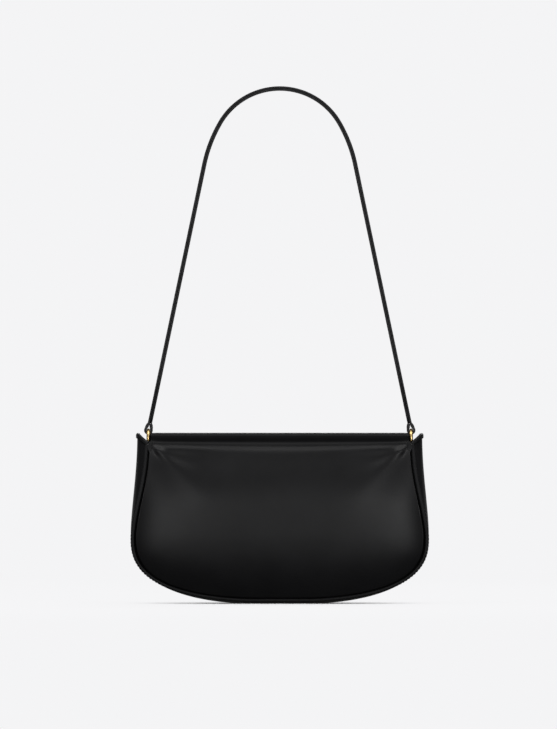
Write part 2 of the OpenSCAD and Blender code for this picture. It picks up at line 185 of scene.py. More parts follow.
REACH = 8
floor_mesh = bpy.data.meshes.new("floor")
floor_mesh.from_pydata([(-REACH, -REACH, 0), (REACH, -REACH, 0), (REACH, REACH, 0), (-REACH, REACH, 0)], [],
                       [(0, 1, 2, 3)])
floor = bpy.data.objects.new("floor", floor_mesh)
bpy.context.scene.collection.objects.link(floor)
paper, dye = new_material("paper")
spot = dye.node("ShaderNodeTexCoord", {}, {}, "Object")
away = dye.node("ShaderNodeVectorMath", {"operation": "LENGTH"}, {0: spot}, "Value")
lit = dye.node("ShaderNodeBsdfDiffuse", {}, {"Color": PAPER})
shadowless = away.clipped(0.03, 0.13) * 0.92 + away.clipped(0.3, 1.5) * 0.08
card = either(dye, shadowless, lit, glow(dye, PAPER, 1))
near = away.clipped(0.07, 1.1) * wall_level(dye, spot) + 0.135
low = dye.node("ShaderNodeBsdfDiffuse", {}, {"Color": (0.2, 0.2, 0.2, 1)})
other = either(dye, ray(dye, "Glossy"), low, glow(dye, (1, 1, 1, 1), near))
show(paper, either(dye, ray(dye, "Camera"), other, card))
floor_mesh.materials.append(paper)

# Hide: the back, the rolled top and the flap.
# One skin of smooth black calf, turned at its edges, wraps a board in the back, rolls over the top and hangs
# down the front as the flap.
BODY_HALF, RIM, EAR_IN, NOTCH_IN, NECK_IN = 119.2, 3.2, 5.2, 9.0, 4.2
SEAM_HALF = BODY_HALF - RIM
SEAM_TOP_HALF = BODY_HALF - EAR_IN - NOTCH_IN
NECK_HALF = SEAM_TOP_HALF - NECK_IN
BODY_H, WIDE_Z, BELLY_Z, SEAM_Z, SEAM_LIFT = 136.4, 57.0, 62.0, 53.0, 4.3
NECK_Z, NOTCH_Z = 129.6, 127.4
BODY_D, SIDE_D, BASE_D, NECK_D, ROLL = 62.0, 49.0, 46.0, 34.0, 5.0
ROLL_Y, ROLL_Z = NECK_D / 2 - ROLL, BODY_H - ROLL
CORNER, CORNER_TURN, DRAW, CROWN = 2.6, math.radians(82), 1.5, 2.6
UPPER_BELLY, LOWER_BELLY = 1.75, 2.8
LEATHER = 1.4
FLAP_HALF, FLAP_WIDE_Z, FLAP_LOW_Z, FLAP_NECK = 108.0, 66.0, 26.0, NECK_HALF - 0.3
FLAP_PACK = 5.7


def mix(a, b, t):
    return a + (b - a) * t


def drawn(share):
    return np.sin(np.pi / 2 * np.clip(share, 0, 1)) ** DRAW


def side_line(rows, half, wide, low, top_half, top):
    """Half width and height along one side of an outline: the squared corner turn from
    its foot (-1) to the widest level (0), then the drawn-in side up to its head (1)."""
    rows = np.asarray(rows, float)
    turn = np.clip(-rows, 0, 1) * CORNER_TURN
    head = np.clip(rows, 0, 1)
    width = np.where(rows < 0, half * np.cos(turn) ** (2 / CORNER), mix(half, top_half, drawn(head)))
    height = np.where(rows < 0, wide - (wide - low) * np.sin(turn) ** (2 / CORNER), mix(wide, top, head))
    return width, height


def whole_outline(count, *shape, head=1.0):
    """Evenly spaced points from one head of an outline, round its foot, to the other head."""
    width, height = side_line(np.linspace(head, -1, 1200), *shape)
    x = np.concatenate([-width, width[::-1]])
    z = np.concatenate([height, height[::-1]])
    run = np.concatenate([[0], np.cumsum(np.hypot(np.diff(x), np.diff(z)))])
    even = np.linspace(0, run[-1], count)
    return np.interp(even, run, x), np.interp(even, run, z)


SEAM = (SEAM_HALF, SEAM_Z, SEAM_LIFT, SEAM_TOP_HALF, NOTCH_Z)
FLAP = (FLAP_HALF, FLAP_WIDE_Z, FLAP_LOW_Z, FLAP_NECK, NECK_Z)


def seam_half_at(z):
    down = np.clip((SEAM_Z - z) / (SEAM_Z - SEAM_LIFT), 0, 1)
    low = SEAM_HALF * np.clip(1 - down ** CORNER, 0, 1) ** (1 / CORNER)
    high = mix(SEAM_HALF, SEAM_TOP_HALF, drawn((z - SEAM_Z) / (NOTCH_Z - SEAM_Z)))
    return np.where(z < SEAM_Z, low, high)


def half_depth(z, full):
    up = np.clip((z - BELLY_Z) / (ROLL_Z - BELLY_Z), 0, 1)
    down = np.clip((z - SEAM_LIFT) / (BELLY_Z - SEAM_LIFT), 0, 1)
    high = mix(NECK_D, full, (1 + np.cos(np.pi * up ** UPPER_BELLY)) / 2) / 2
    low = mix(BASE_D, full, 1 - (1 - down) ** LOWER_BELLY) / 2
    return np.where(z > BELLY_Z, high, low)


def belly(x, z):
    """How far the panel's face stands off the bag's middle plane."""
    share = np.clip(np.abs(x) / np.maximum(ROLL, seam_half_at(z)), 0, 1) ** CROWN
    return mix(half_depth(z, BODY_D), half_depth(z, SIDE_D), share)


def bump(distance, width):
    return np.exp(-(distance / width) ** 2)


def neck_form(x, z):
    """How far the worn leather stands off its plain form: a crease under the roll and, towards
    the corners, a soft ridge and a shallow valley below it."""
    out = np.clip(np.abs(x) / NECK_HALF, 0, 1) ** 2
    ridge = 0.5 * out * bump(z - 122.5, 3.0)
    crease = mix(2.3, 1.7, out) * bump(z - mix(127.6, 129.0, out), mix(4.2, 3.6, out))
    valley = 0.4 * out * bump(z - 116.0, 6.0)
    return ridge - crease - valley


# Each fold's run inward and down, its height, its width and how far it fades out.
CORNER_FOLDS = ((50, 45, 1.7, 7.0, 58), (60, 24, -0.2, 5.5, 40), (24, 60, -0.15, 6.0, 50))


def corner_folds(x, z):
    """Soft folds that fan down and inward from the two top corners."""
    side = np.abs(x)
    folds = 0
    for reach, drop, height, width, fade in CORNER_FOLDS:
        length = math.hypot(reach, drop)
        away_x, away_z = SEAM_TOP_HALF - 2 - side, 127.5 - z
        along = (away_x * reach + away_z * drop) / length
        across = (away_x * -drop + away_z * reach) / length
        folds = folds + height * bump(across, width * (0.2 + along.clip(0, 90) / 40)) \
            * np.clip(along / 8, 0, 1) * bump(along, fade)
    return folds


def normals(grid):
    along = np.gradient(grid, axis=1)
    up = np.gradient(grid, axis=0)
    n = np.cross(along, up)
    return n / np.maximum(np.linalg.norm(n, axis=2, keepdims=True), 1e-9)


def edge_distance(grid, edges):
    """How far each point of a grid lies from the edge points."""
    flat = grid.reshape(-1, 3)
    nearest = np.full(len(flat), 1e9)
    for start in range(0, len(edges), 64):
        gap = flat[:, None, :] - edges[None, start:start + 64, :]
        nearest = np.minimum(nearest, (gap ** 2).sum(2).min(1))
    return np.sqrt(nearest).reshape(grid.shape[:2])


def border(grid):
    return np.concatenate([grid[0], grid[-1], grid[:, 0], grid[:, -1]])


def rounded_skin(grid, thickness, back=0.0):
    """Outer and inner faces of a skin, "back" behind the grid, whose edges are turned half round,
    and how near each point is to the edge."""
    n = normals(grid)
    away = edge_distance(grid, border(grid))
    nearer = np.clip(away / (thickness * 0.75), 0, 1)
    half = thickness / 2 * np.sqrt(np.clip(1 - (1 - nearer) ** 2, 0, 1))
    middle = grid - n * (back + thickness / 2)
    return middle + n * half[..., None], middle - n * half[..., None], np.clip(1 - away / 2.2, 0, 1)


def plain_mesh(name, points, faces, edge=None):
    """A smooth mesh whose faces look outward; "edge" marks what lies near a cut edge."""
    points = np.asarray(points, float)
    four = np.array([face[:4] for face in faces if len(face) >= 4])
    a, b, c, d = (points[four[:, i]] for i in range(4))
    if (np.cross(b, c) * a).sum() + (np.cross(c, d) * a).sum() < 0:
        faces = [face[::-1] for face in faces]
    mesh = bpy.data.meshes.new(name)
    mesh.from_pydata([tuple(p) for p in points * MM], [], faces)
    mesh.polygons.foreach_set("use_smooth", [True] * len(mesh.polygons))
    if edge is not None:
        marks = mesh.attributes.new("edge", "FLOAT", "POINT").data
        marks.foreach_set("value", np.asarray(edge, np.float32))
    made = bpy.data.objects.new(name, mesh)
    bpy.context.scene.collection.objects.link(made)
    return made


def shell(name, outer, inner, edge=None):
    """A closed skin between two grids of the same rows and columns."""
    rows, columns = outer.shape[:2]
    index = np.arange(rows * columns).reshape(rows, columns)
    far = index + rows * columns
    quads = [np.stack([index[:-1, :-1], index[:-1, 1:], index[1:, 1:], index[1:, :-1]], -1).reshape(-1, 4),
             np.stack([far[:-1, :-1], far[1:, :-1], far[1:, 1:], far[:-1, 1:]], -1).reshape(-1, 4)]
    loop = np.concatenate([index[0, :-1], index[:-1, -1], index[-1, :0:-1], index[:0:-1, 0]])
    after = np.roll(loop, -1)
    quads.append(np.stack([after, loop, loop + rows * columns, after + rows * columns], -1))
    marks = None if edge is None else np.concatenate([edge.ravel(), edge.ravel()])
    return plain_mesh(name, np.concatenate([outer.reshape(-1, 3), inner.reshape(-1, 3)]),
                      np.concatenate(quads).tolist(), marks)


COLUMNS = 241
FAN_ROWS = 64
fan_steps = np.concatenate([[0, 0.0012, 0.003, 0.006, 0.0095], np.linspace(0.024, 1, FAN_ROWS) ** 1.15])
spread = np.linspace(-1, 1, COLUMNS)


def fan(outline_x, outline_z, top_x, top_z, steps, face, sign):
    """Rows of points from an outline up to a straight head, laid on a panel's face."""
    x = mix(outline_x[None, :], top_x[None, :], steps[:, None])
    z = mix(outline_z[None, :], np.full_like(top_x, top_z)[None, :], steps[:, None])
    return np.stack([x, sign * face(x, z), z], -1)


TURN_Y, TURN_R, SAG = 15.1, 2.0, 0.7


def over_the_top():
    """The path over the top, from the back to the front: the back edge leans out over its crease
    and turns sharply, the front one rolls over at its full radius."""
    lean = [(-16.25 - 0.85 * t ** 0.8, ROLL_Z + 2.9 * t) for t in np.linspace(0, 1, 6)[:-1]]
    turn = [(-TURN_Y - TURN_R * math.cos(a), BODY_H - TURN_R + TURN_R * math.sin(a))
            for a in np.linspace(-0.05, math.pi / 2, 9)]
    flat = [(y, BODY_H - SAG * math.cos(y / TURN_Y * math.pi / 2) ** 2 * (y < ROLL_Y))
            for y in np.linspace(-14.4, ROLL_Y, 29)]
    front = [(ROLL_Y + ROLL * math.cos(a), ROLL_Z + ROLL * math.sin(a))
             for a in np.linspace(math.pi / 2, 0, 12)[1:]]
    return lean + turn + flat + front


def whole_hide(back, roll, front, end=0.0):
    """All rows of the hide, its neck's ends spread a little on the back."""
    rows = []
    for y, z in roll:
        half = mix(NECK_HALF, FLAP_NECK, min(1, max(0, (y + ROLL_Y) / (2 * ROLL_Y))))
        half += end * min(1, max(0, (-9.5 - y) / 4))
        rows.append(np.stack([half * spread, np.full(COLUMNS, y), np.full(COLUMNS, z)], -1))
    return np.concatenate([back, np.array(rows), front[::-1]])


EDGE_INSET, PUFF, NECK_END, COVER = 0.9, 3.8, 3.0, 1.9
seam_x, seam_z = whole_outline(COLUMNS, *SEAM)
flap_x, flap_z = whole_outline(COLUMNS, *FLAP)
back_plain = fan(seam_x, seam_z, NECK_HALF * spread, NECK_Z, fan_steps, belly, -1)
flap_plain = fan(flap_x, flap_z, FLAP_NECK * spread, NECK_Z, fan_steps, belly, 1)
top_path = over_the_top()
plain_hide = whole_hide(back_plain, top_path, flap_plain)

SEAM_SEEN = (SEAM_HALF - EDGE_INSET, SEAM_Z, SEAM_LIFT - 0.3, SEAM_TOP_HALF - EDGE_INSET, NOTCH_Z)
seen_x, seen_z = whole_outline(COLUMNS, *SEAM_SEEN)
cover = np.clip((seen_z - 121.0) / 2.5, 0, 1)
seen_x += np.sign(seen_x) * COVER * cover ** 2 * (3 - 2 * cover)
back_worn = fan(seen_x, seen_z, (NECK_HALF + NECK_END) * spread, NECK_Z, fan_steps, belly, -1)
seam_away = edge_distance(back_worn * (1, 0, 1), back_worn[0] * (1, 0, 1))
held = 1 - np.exp(-seam_away / 4)
x, z = back_worn[..., 0], back_worn[..., 2]
fullness = np.clip((129 - z) / 80, 0, 1)
back_worn[..., 1] -= held * (neck_form(x, z) + corner_folds(x, z)) \
    + PUFF * (1 - np.exp(-seam_away / 8.5)) * fullness ** 2 * (3 - 2 * fullness)
hide_grid = whole_hide(back_worn, top_path, flap_plain, NECK_END)
outer, inner, edge = rounded_skin(hide_grid, LEATHER)
hide_outer = outer
hide = shell("hide", outer, inner, edge)
column = np.arange(len(hide.data.vertices)) % COLUMNS
row_of = np.arange(len(hide.data.vertices)) // COLUMNS % len(hide_grid)


def calf(name, colour, roughness, grain, sheen=0.155, wavy=0.00025):
    """Smooth box calf: a very fine grain, a polish that varies a little, rubbed and painted edges."""
    material, dye = new_material(name)
    place = dye.node("ShaderNodeTexCoord", {}, {}, "Object")
    edge = dye.node("ShaderNodeAttribute", {"attribute_name": "edge"}, {}, "Fac")
    pores = dye.node("ShaderNodeTexVoronoi", {"feature": "SMOOTH_F1"},
                     {"Vector": place, "Scale": 1900}, "Distance")
    mottle = dye.node("ShaderNodeTexNoise", {}, {"Vector": place, "Scale": 35, "Detail": 4})
    cloud = dye.node("ShaderNodeTexNoise", {}, {"Vector": place, "Scale": 9, "Detail": 2})
    rubs = dye.node("ShaderNodeTexNoise", {}, {"Vector": place, "Scale": 160, "Detail": 3})
    tone = (mottle * 0.6 + cloud * 0.4).clipped(0.3, 0.7)
    paler = tuple(c * 1.4 for c in colour[:3]) + (1,)
    rubbed = tuple(c * 2.6 for c in colour[:3]) + (1,)
    wear = edge.clipped(0.3, 1.0) * rubs.clipped(0.45, 0.7)
    dip = dye.node("ShaderNodeBump", {}, {"Strength": 0.5, "Distance": wavy,
                                          "Height": cloud + mottle * 0.25})
    relief = dye.node("ShaderNodeBump", {}, {"Strength": grain, "Distance": 0.00005,
                                             "Height": pores + mottle * 0.5, "Normal": dip})
    skin = dye.node("ShaderNodeBsdfPrincipled", {}, {
        "Base Color": wear.blend(tone.blend(colour, paler), rubbed),
        "Roughness": roughness + (mottle - 0.5) * 0.12 - edge * 0.06, "Normal": relief,
        "Specular IOR Level": sheen})
    show(material, skin)
    return material


panel_calf = calf("panel_calf", (0.0045, 0.0045, 0.005, 1), 0.36, 0.25)
hide.data.materials.append(panel_calf)
# Matte near-black with almost no shine. It is paint on cut edges, and painted shade on the gusset's edges
# down in the seam grooves.
edge_paint_and_shade = calf("edge_paint_and_groove_shade", (0.002, 0.002, 0.002, 1), 0.9, 0.3, 0.02)
hide.data.materials.append(edge_paint_and_shade)
for face in hide.data.polygons:
    rows, columns = row_of[list(face.vertices)], column[list(face.vertices)]
    if rows.min() > len(fan_steps) - 3 and (columns.max() < 2 or columns.min() > COLUMNS - 3):
        face.material_index = 1
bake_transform(hide)
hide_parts("back_panel", "flap")

# Flap edge: the flap's leather turned over the edge of its board and down on to the lining.
# It is a narrow rounded band all round the flap, up to the ends of the neck.
FLAP_THICK, BAND_HALF, BAND_IN, BAND_SQUARE = 3.75, 0.95, 0.65, 0.7


def unit(v):
    return v / np.maximum(np.linalg.norm(v, axis=-1, keepdims=True), 1e-9)


def swept(name, centres, across, up, sections, closed=False, edge=None):
    """A solid swept along a line of centres. Each section is a ring of (across, up) sizes."""
    centres, across, up = (np.asarray(v, float) for v in (centres, across, up))
    rings = centres[:, None, :] + sections[..., 0:1] * across[:, None, :] \
        + sections[..., 1:2] * up[:, None, :]
    count, sides = rings.shape[:2]
    index = np.arange(count * sides).reshape(count, sides)
    ahead = np.roll(index, -1, axis=0) if closed else index[1:]
    here = index if closed else index[:-1]
    quads = np.stack([here, np.roll(here, -1, axis=1), np.roll(ahead, -1, axis=1), ahead], -1)
    faces = quads.reshape(-1, 4).tolist()
    if not closed:
        faces += [index[0][::-1].tolist(), index[-1].tolist()]
    marks = None if edge is None else np.tile(edge, count)
    return plain_mesh(name, rings.reshape(-1, 3), faces, marks)


def oval(across, up, count, square=1.0):
    """A ring of points round an oval, squarer where "square" is less than 1."""
    turn = np.linspace(0, 2 * math.pi, count, endpoint=False)
    ring = np.stack([np.cos(turn), np.sin(turn)], -1)
    return np.sign(ring) * np.abs(ring) ** square * (across, up)


edge_line = flap_plain[0]
edge_face = -normals(flap_plain)[2]
edge_face[[0, -1]] = edge_face[[1, -2]]
edge_out = unit(np.cross(np.gradient(edge_line, axis=0), edge_face))
edge_out *= np.sign((edge_out * (edge_line - (0, 0, 80)))[COLUMNS // 2].sum())
edge_middle = edge_line - edge_face * FLAP_THICK / 2 - edge_out * BAND_IN
band = np.tile(oval(BAND_HALF, FLAP_THICK / 2 + 0.05, 20, BAND_SQUARE), (COLUMNS, 1, 1))
flap_edge = swept("flap_turned_edge", edge_middle, edge_out, edge_face, band)
flap_edge.data.materials.append(panel_calf)
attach(flap_edge, "flap")

# Front panel: the skin of the front, seen under the flap's lower edge and when it is open.
# The same calf, turned over at its straight upper edge and sewn to the gusset round the rest.
FRONT_HEAD = 0.84
front_x, front_z = whole_outline(COLUMNS, *SEAM, head=FRONT_HEAD)
front_head_half, front_head_z = (float(v) for v in side_line(FRONT_HEAD, *SEAM))


def front_face(x, z):
    return belly(x, z) - FLAP_PACK


front_grid = fan(front_x, front_z, front_head_half * spread, front_head_z, fan_steps, front_face, 1)[::-1]
front = shell("front_skin", *rounded_skin(front_grid, LEATHER))
front.data.materials.append(panel_calf)
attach(front, "bag")
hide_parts("front_panel")

# Gusset: the strip that joins the two panels at both sides and under the bag.
# Calf a little duller than the panels, its edges turned under into the seams, and its two
# ends left standing as ears.
BASE_SINK, EAR_TOP_Z, EAR_HALF = 0.9, 134.6, BODY_HALF - EAR_IN
RIM_LINE = (BODY_HALF, WIDE_Z, -BASE_SINK, EAR_HALF, EAR_TOP_Z)
SEAT_IN, TUCK = 2.0, 1.5
EAR_SECTION, BASE_SECTION = 4.0, 5.0
strip_edge = 1 - np.array([0, 0.004, 0.010, 0.018, 0.028, 0.04, 0.055, 0.075, 0.10, 0.13, 0.17, 0.21])
strip_columns = np.concatenate([-strip_edge, np.linspace(-0.74, 0.74, 29), strip_edge[::-1]])


def strip_half(rows, columns=strip_columns, side=1, tuck=0.0):
    seam_w, seam_h = side_line(rows, *SEAM)
    rim_w, rim_h = side_line(rows, *RIM_LINE)
    section = mix(BASE_SECTION, EAR_SECTION, np.clip((np.asarray(rows) + 1) / 2, 0, 1))
    deep = half_depth(seam_h, SIDE_D) - SEAT_IN
    q = columns[None, :]
    wide = np.hypot(rim_w - seam_w, rim_h - seam_h)[:, None]
    share = np.abs(q) ** section[:, None] + tuck / wide * np.clip((np.abs(q) - 0.96) / 0.04, 0, 1)
    y = np.where(q < 0, q * deep[:, None], q * (deep[:, None] - FLAP_PACK))
    x = mix(rim_w[:, None], seam_w[:, None], share)
    z = mix(rim_h[:, None], seam_h[:, None], share)
    return np.stack([side * x, y, z], -1)


strip_rows = np.concatenate([np.linspace(1, 0, 70), -np.linspace(0, 1, 90)[1:]])
left_half = strip_half(strip_rows, side=-1, tuck=TUCK)
right_half = strip_half(strip_rows[::-1], side=1, tuck=TUCK)
strip_grid = np.concatenate([left_half, right_half])
strip_outer, strip_inner, edge = rounded_skin(strip_grid, LEATHER)
strip_outer[..., 2] = np.maximum(strip_outer[..., 2], 0)
strip_inner[..., 2] = np.maximum(strip_inner[..., 2], 0.4)
gusset = shell("gusset_strip", strip_outer, strip_inner, edge)
gusset_calf = calf("gusset_calf", (0.0045, 0.0045, 0.005, 1), 0.48, 0.35, 0.12)
gusset.data.materials.append(gusset_calf)
gusset.data.materials.append(edge_paint_and_shade)
columns = strip_grid.shape[1]
# The strip's turned edges and end walls sit in the seam grooves and take the matte black there as painted
# shade.
for face in gusset.data.polygons:
    place_in_row = {v % columns for v in face.vertices}
    if max(place_in_row) < 4 or min(place_in_row) > columns - 5 or max(place_in_row) - min(place_in_row) > 4:
        face.material_index = 1
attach(gusset, "bag")
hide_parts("gusset")

# Turned edges of the gusset: where the strip is folded back along each panel's seam it
# shows as a narrow rounded bead, with a flank that runs down on to the strip and a dark
# groove between it and the panel.
BEAD_OUT, BEAD_ACROSS, BEAD_UP, BEAD_SUNK = 1.7, 1.4, 1.1, 0.9
level_rows = np.linspace(-1, 1, 400)
level_w, level_z = side_line(level_rows, *SEAM)
edge_w, edge_z = side_line(level_rows, *RIM_LINE)
level_share = (1 - BEAD_OUT / np.hypot(edge_w - level_w, edge_z - level_z)) \
    ** (1 / mix(BASE_SECTION, EAR_SECTION, (level_rows + 1) / 2))
crown = oval(BEAD_ACROSS, BEAD_UP, 22, 0.62)
crown = crown[crown[:, 1] >= -1e-6]
crown = crown[np.argsort(-crown[:, 0])]
bead_lines = {}
for place, head, side, pack in (("back", 1.0, -1, 0), ("front", FRONT_HEAD, 1, FLAP_PACK)):
    line_x, line_z = whole_outline(300, *SEAM, head=head)
    ahead = unit(np.stack([np.gradient(line_x), np.gradient(line_z)], -1))
    outward = np.stack([ahead[:, 1], np.zeros(300), -ahead[:, 0]], -1)
    stand = half_depth(line_z, SIDE_D) - pack
    wider = np.clip(-outward[:, 2], 0, 1) * 0.25
    centres = np.stack([line_x, side * (stand - BEAD_SUNK), line_z], -1)
    centres = centres + (BEAD_OUT + wider)[:, None] * outward
    toward = np.tile((0.0, side, 0.0), (300, 1))
    swell = np.clip((128.8 - line_z) / 5, 0.25, 1) - wider * 0.7
    deep = stand - BEAD_SUNK - np.interp(line_z, level_z, level_share) * (stand - SEAT_IN) + 0.4
    top = crown[None] * swell[:, None, None]
    flank = np.array([(-1.0, 1.0), (-0.15, 1.0), (0.3, 0.62), (0.9, 0.18)])[None] \
        * np.stack([BEAD_ACROSS * swell, -deep], -1)[:, None, :]
    bead = swept("gusset_edge_" + place, centres, outward, toward, np.concatenate([top, flank], 1))
    bead.data.materials.append(gusset_calf)
    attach(bead, "bag")
    bead_lines[place] = (centres, outward, toward)

# Ear bindings: a narrow strip of thin calf folded over the sloping edge of each ear,
# glued on both faces, its cut edges painted.
BINDING_W, BINDING_OVER, BINDING_HALF = 2.4, 1.7, 1.75
binding_calf = calf("binding_calf", (0.004, 0.004, 0.0045, 1), 0.42, 0.2)
ear_columns = np.sign(np.linspace(-1, 1, 91)) * np.abs(np.linspace(-1, 1, 91)) ** 0.8
around = np.linspace(0, math.pi, 9)
binding_ring = np.concatenate([
    np.stack([BINDING_HALF * np.cos(around), BINDING_OVER * np.sin(around)], -1),
    [(-BINDING_HALF, -0.9), (-BINDING_HALF, -BINDING_W + 0.6), (-BINDING_HALF + 0.12, -BINDING_W + 0.15),
     (-BINDING_HALF + 0.5, -BINDING_W), (BINDING_HALF - 0.5, -BINDING_W),
     (BINDING_HALF - 0.12, -BINDING_W + 0.15), (BINDING_HALF, -BINDING_W + 0.6), (BINDING_HALF, -0.9)]])
for side, word in ((-1, "left"), (1, "right")):
    below, top = strip_half(np.array([0.97, 1.0]), ear_columns, side)
    up = unit(top - below)
    along = unit(np.gradient(top, axis=0))
    out = unit(np.cross(along, up)) * side
    out *= np.sign(out[45, 0]) * side
    binding = swept("ear_binding_" + word, top - out * LEATHER / 2, out, up,
                    np.tile(binding_ring, (len(ear_columns), 1, 1)),
                    edge=(binding_ring[:, 1] < -BINDING_W + 0.2).astype(float))
    binding.data.materials.append(binding_calf)
    binding.data.materials.append(edge_paint_and_shade)
    for face in binding.data.polygons:
        if {v % len(binding_ring) for v in face.vertices} <= set(range(10, 16)):
            face.material_index = 1
    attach(binding, "bag")
    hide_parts("gusset_binding_" + word)

# Lining: matt black microsuede, glued inside the panels, the gusset and the flap.
LINING = 0.8
LINING_BACK, STRIP_LINING_BACK = 2.9, 4.8
inside_hide = plain_hide[11:-3, 4:-4]
lining = shell("lining_sheet", *rounded_skin(inside_hide, LINING, LINING_BACK))
suede = calf("microsuede", (0.020, 0.019, 0.019, 1), 0.85, 0.9)
lining.data.materials.append(suede)
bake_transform(lining)
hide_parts("lining_back", "flap_lining")
lining_front = shell("lining_front_sheet", *rounded_skin(front_grid[:-8, 4:-4], LINING, LINING_BACK))
lining_front.data.materials.append(suede)
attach(lining_front, "bag")
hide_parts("lining_front")
inside_strip = strip_grid[14:-14, 6:-6]
lining_gusset = shell("lining_gusset_sheet", *rounded_skin(inside_strip, LINING, STRIP_LINING_BACK))
lining_gusset.data.materials.append(suede)
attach(lining_gusset, "bag")
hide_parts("lining_gusset")

# Slip pocket: a patch of the same microsuede that stands off the back lining at its mouth,
# glued and sewn down at its sides and foot, with a narrow calf binding on the mouth.
POCKET_IN, POCKET_DEPTH, POCKET_HALF = 4.0, 9.0, 0.53
patch_rows = np.linspace(-0.19, 0.5, 40)
patch_columns = np.linspace(-POCKET_HALF, POCKET_HALF, 81)
patch_w, patch_h = side_line(patch_rows, *SEAM)
x = patch_w[:, None] * patch_columns[None, :]
z = np.broadcast_to(patch_h[:, None], x.shape)
patch = np.stack([x, -belly(x, z), z], -1)
off_rows = np.interp(patch_rows, [-0.19, -0.08, 0, 0.2, 0.35, 0.5], [0, 0.45, 0.72, 0.88, 0.97, 1])
off_columns = np.interp(np.abs(patch_columns), [0, 0.17, 0.35, 0.53], [1, 0.95, 0.78, 0])
off = POCKET_IN + POCKET_DEPTH * off_rows[:, None] * off_columns[None, :]
patch = patch - normals(patch) * off[..., None]
pocket = shell("pocket_patch", *rounded_skin(patch, LINING))
pocket.data.materials.append(suede)
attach(pocket, "bag")
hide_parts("pocket")
mouth = patch[-1] - normals(patch)[-1] * LINING / 2
lip = np.array([(0.75 * math.cos(t), 1.45 * math.sin(t) + 1.5)
                for t in np.linspace(0, 2 * math.pi, 16)[:-1]])
lip_out = unit(normals(patch)[-1] * (1, 1, 0))
pocket_edge = swept("pocket_edge", mouth, lip_out, np.tile((0.0, 0, 1), (81, 1)), np.tile(lip, (81, 1, 1)))
pocket_edge.data.materials.append(binding_calf)
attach(pocket_edge, "bag")
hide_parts("pocket_binding")

# Ring tabs: a strip of calf folded round the foot of each ring, both ends glued and sewn
# between the gusset and its lining.
RING_X, RING_Y, RING_Z = 105.05, -1.482, 131.55
RING_R, WIRE_R, RING_GAP = 6.85, 1.35, 0.3
TAB_W, TAB_T = 6.5, 1.4
TAB_TOP_Z, TAB_FOOT_Z = 117.2, 99.2


def tape(name, path, widths, thickness, round_off, y=RING_Y):
    """A flat strip along a path of (x, z) points, its width along Y and its edges painted round."""
    path, widths = np.asarray(path, float), np.asarray(widths, float)
    ahead = unit(np.gradient(path, axis=0))
    up = np.stack([-ahead[:, 1], np.zeros(len(path)), ahead[:, 0]], -1)
    centres = np.stack([path[:, 0], np.full(len(path), y), path[:, 1]], -1)
    turns = np.radians([0, 30, 60, 90, 90, 120, 150, 180, 180, 210, 240, 270, 270, 300, 330, 360])
    right, top = np.repeat([1, -1, -1, 1], 4), np.repeat([1, 1, -1, -1], 4)
    insets = -round_off * (1 - np.abs(np.cos(turns)))
    flat = np.broadcast_to(thickness, len(path))[:, None] / 2 - round_off
    heights = top * flat + round_off * np.sin(turns)
    across = right[None, :] * (widths[:, None] / 2 + insets[None, :])
    sections = np.stack([across, heights], -1)
    return swept(name, centres, np.tile((0.0, 1, 0), (len(path), 1)), up, sections,
                 edge=(np.abs(np.cos(turns)) > 0.3).astype(float))


def strip_face_x(z):
    """The gusset's inner face behind its glue line, at the tab's edge, on the right."""
    row = (z - WIDE_Z) / (EAR_TOP_Z - WIDE_Z)
    deep = half_depth(side_line(row, *SEAM)[1], SIDE_D) - SEAT_IN
    q = (RING_Y - TAB_W / 2) / float(deep)
    return float(strip_half(np.array([row]), np.array([q]))[0, 0, 0]) - LEATHER - 0.6


tab_z = RING_Z - RING_R
fold_r = WIRE_R + RING_GAP + TAB_T / 2
outer_run = [(strip_face_x(z) - TAB_T / 2, z) for z in np.linspace(TAB_FOOT_Z, TAB_TOP_Z, 8)]
inner_run = [(x - TAB_T, z) for x, z in outer_run[:-1]] + [(outer_run[-1][0] - TAB_T - 0.4, TAB_TOP_Z)]
fold = [(RING_X + fold_r * math.cos(a), tab_z + fold_r * math.sin(a))
        for a in np.radians(np.linspace(-28, 208, 19))]
for side, word in ((-1, "left"), (1, "right")):
    path = [(side * x, z) for x, z in outer_run + fold + inner_run[::-1]]
    tab = tape("ring_tab_leather_" + word, path, np.full(len(path), TAB_W - 0.1), TAB_T - 0.1, 0.45)
    tab.data.materials.append(gusset_calf)
    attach(tab, "bag")
    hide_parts("ring_tab_" + word)

# Rings: round brass wire bent to a ring, welded shut and plated pale gold.
# Each turns in the fold of its tab and carries one end of the strap.
gilt, dye = new_material("gilt")
place = dye.node("ShaderNodeTexCoord", {}, {}, "Object")
haze = dye.node("ShaderNodeTexNoise", {}, {"Vector": place, "Scale": 220, "Detail": 3})
fine = dye.node("ShaderNodeTexNoise", {}, {"Vector": place, "Scale": 2600, "Detail": 2})
show(gilt, dye.node("ShaderNodeBsdfPrincipled", {}, {
    "Base Color": haze.clipped(0.3, 0.7).blend((0.80, 0.55, 0.22, 1), (0.86, 0.62, 0.28, 1)),
    "Metallic": 1.0,
    "Roughness": haze * 0.14 + 0.22,
    "Normal": dye.node("ShaderNodeBump", {}, {"Strength": 0.15, "Distance": 0.00002, "Height": fine})}))
WIRE_SEEN = WIRE_R + 0.1
turn = np.linspace(0, 2 * math.pi, 96, endpoint=False)
for side, word in ((-1, "left"), (1, "right")):
    outward = np.stack([np.zeros(96), np.cos(turn), np.sin(turn)], -1)
    weld = 1 + 0.035 * bump(turn - math.pi * 1.18, 0.10)
    sections = oval(WIRE_SEEN, WIRE_SEEN, 28)[None] * weld[:, None, None]
    wire = swept("ring_wire_" + word, np.array([side * RING_X, RING_Y, RING_Z]) + RING_R * outward,
                 np.tile((1.0, 0, 0), (96, 1)), outward, sections, closed=True)
    wire.data.materials.append(gilt)
    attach(wire, "ring_" + word)
    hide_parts("ring_" + word)

